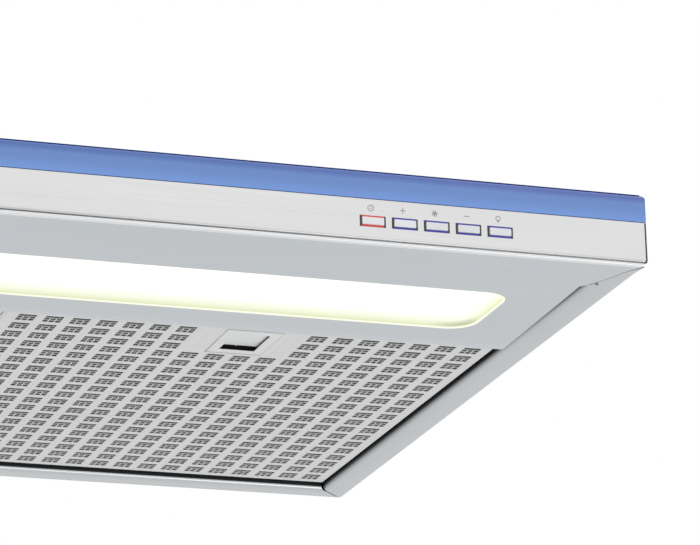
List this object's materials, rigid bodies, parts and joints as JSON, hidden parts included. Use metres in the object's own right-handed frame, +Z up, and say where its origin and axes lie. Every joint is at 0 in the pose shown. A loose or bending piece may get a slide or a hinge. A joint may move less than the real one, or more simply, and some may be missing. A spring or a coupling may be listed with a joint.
{
  "type": "under cabinet range hood",
  "caption": "Slim under cabinet range hood with a tinted front strip, push buttons, lit underside panel, hinged grease filters, blower and top duct collar.",
  "frame": {"origin": "on the flat top of the casing, midway between the sides, 300 mm behind the front face", "axes": "+X to the user's right along the front, +Y from the front face to the wall, +Z up out of the flat top"},
  "size_m": [0.6, 0.479, 0.1307],
  "materials": {
    "brushed_steel": "fine horizontal brushed stainless steel",
    "filter_steel": "satin stainless steel, punched",
    "galvanised": "galvanised sheet",
    "aluminium": "expanded aluminium mesh",
    "tinted_acrylic": "polished translucent blue",
    "seal_rubber": "matt black",
    "diffuser_acrylic": "opal, satin",
    "white_enamel": "white enamel",
    "lamp_glass": "phosphor coated glass",
    "cap_plastic": "satin silver white",
    "red_lens": "translucent red",
    "blue_lens": "translucent deep blue",
    "black_plastic": "moulded black",
    "grey_plastic": "moulded grey",
    "circuit_board": "green laminate",
    "spring_steel": "bright zinc plated steel"
  },
  "bodies": {
    "casing": {"top_panel": "brushed_steel", "rear_panel": "brushed_steel", "side_panel_left": "brushed_steel", "side_panel_right": "brushed_steel", "front_panel": "brushed_steel", "fascia": "brushed_steel", "filter_divider": "filter_steel", "blower_housing": "galvanised", "blower_base": "galvanised", "inlet_ring": "galvanised", "motor": "galvanised", "power_box": "galvanised", "corner_rivet_left": "galvanised", "corner_rivet_right": "galvanised", "capacitor": "aluminium", "tint_strip": "tinted_acrylic", "fascia_seal": "seal_rubber", "light_diffuser": "diffuser_acrylic", "lamp_reflector": "white_enamel", "lampholder_left": "white_enamel", "lampholder_right": "white_enamel", "lamp_ballast": "white_enamel", "lamp_tube": "lamp_glass", "terminal_block": "cap_plastic", "timer_frame": "red_lens", "plus_frame": "blue_lens", "fan_frame": "blue_lens", "minus_frame": "blue_lens", "light_frame": "blue_lens", "control_housing": "black_plastic", "cord_gland": "black_plastic", "duct_collar": "grey_plastic", "control_lead": "grey_plastic", "control_board": "circuit_board", "power_board": "circuit_board", "damper_pin": "spring_steel", "motor_screw_1": "spring_steel", "motor_screw_2": "spring_steel", "motor_screw_3": "spring_steel"},
    "timer_key": {"timer_button": "cap_plastic"},
    "plus_key": {"plus_button": "cap_plastic"},
    "fan_key": {"fan_button": "cap_plastic"},
    "minus_key": {"minus_button": "cap_plastic"},
    "light_key": {"light_button": "cap_plastic"},
    "filter_left": {"filter_tray_left": "filter_steel", "filter_mesh_left": "aluminium", "latch_housing_left": "filter_steel", "latch_spring_left": "spring_steel"},
    "latch_left": {"latch_slider_left": "filter_steel"},
    "filter_right": {"filter_tray_right": "filter_steel", "filter_mesh_right": "aluminium", "latch_housing_right": "filter_steel", "latch_spring_right": "spring_steel"},
    "latch_right": {"latch_slider_right": "filter_steel"},
    "fan_wheel": {"impeller": "black_plastic", "motor_shaft": "spring_steel", "impeller_nut": "spring_steel"},
    "flap_rear": {"damper_flap_rear": "grey_plastic"},
    "flap_front": {"damper_flap_front": "grey_plastic"}
  },
  "joints": [
    {"name": "timer_press", "type": "slide", "parent": "casing", "child": "timer_key", "axis": [0, 1, 0], "range_m": [0, 0.0008], "stiffness_N_per_m": 1500, "springref_m": -0.0004},
    {"name": "plus_press", "type": "slide", "parent": "casing", "child": "plus_key", "axis": [0, 1, 0], "range_m": [0, 0.0008], "stiffness_N_per_m": 1500, "springref_m": -0.0004},
    {"name": "fan_press", "type": "slide", "parent": "casing", "child": "fan_key", "axis": [0, 1, 0], "range_m": [0, 0.0008], "stiffness_N_per_m": 1500, "springref_m": -0.0004},
    {"name": "minus_press", "type": "slide", "parent": "casing", "child": "minus_key", "axis": [0, 1, 0], "range_m": [0, 0.0008], "stiffness_N_per_m": 1500, "springref_m": -0.0004},
    {"name": "light_press", "type": "slide", "parent": "casing", "child": "light_key", "axis": [0, 1, 0], "range_m": [0, 0.0008], "stiffness_N_per_m": 1500, "springref_m": -0.0004},
    {"name": "filter_left_hinge", "type": "hinge", "parent": "casing", "child": "filter_left", "pos_m": [-0.144, 0.156, -0.0978], "axis": [1, 0, 0], "range_deg": [0, 35]},
    {"name": "latch_left_slide", "type": "slide", "parent": "filter_left", "child": "latch_left", "axis": [0, 1, 0], "range_m": [-0.003, 0.005], "stiffness_N_per_m": 300},
    {"name": "filter_right_hinge", "type": "hinge", "parent": "casing", "child": "filter_right", "pos_m": [0.144, 0.156, -0.0978], "axis": [1, 0, 0], "range_deg": [0, 35]},
    {"name": "latch_right_slide", "type": "slide", "parent": "filter_right", "child": "latch_right", "axis": [0, 1, 0], "range_m": [-0.003, 0.005], "stiffness_N_per_m": 300},
    {"name": "fan_spin", "type": "hinge", "parent": "casing", "child": "fan_wheel", "pos_m": [-0.13, 0.03, -0.04], "axis": [0, 0, 1], "continuous": true},
    {"name": "flap_rear_hinge", "type": "hinge", "parent": "casing", "child": "flap_rear", "pos_m": [0, 0.103, 0.012], "axis": [1, 0, 0], "range_deg": [0, 75]},
    {"name": "flap_front_hinge", "type": "hinge", "parent": "casing", "child": "flap_front", "pos_m": [0, 0.103, 0.012], "axis": [-1, 0, 0], "range_deg": [0, 75]}
  ]
}
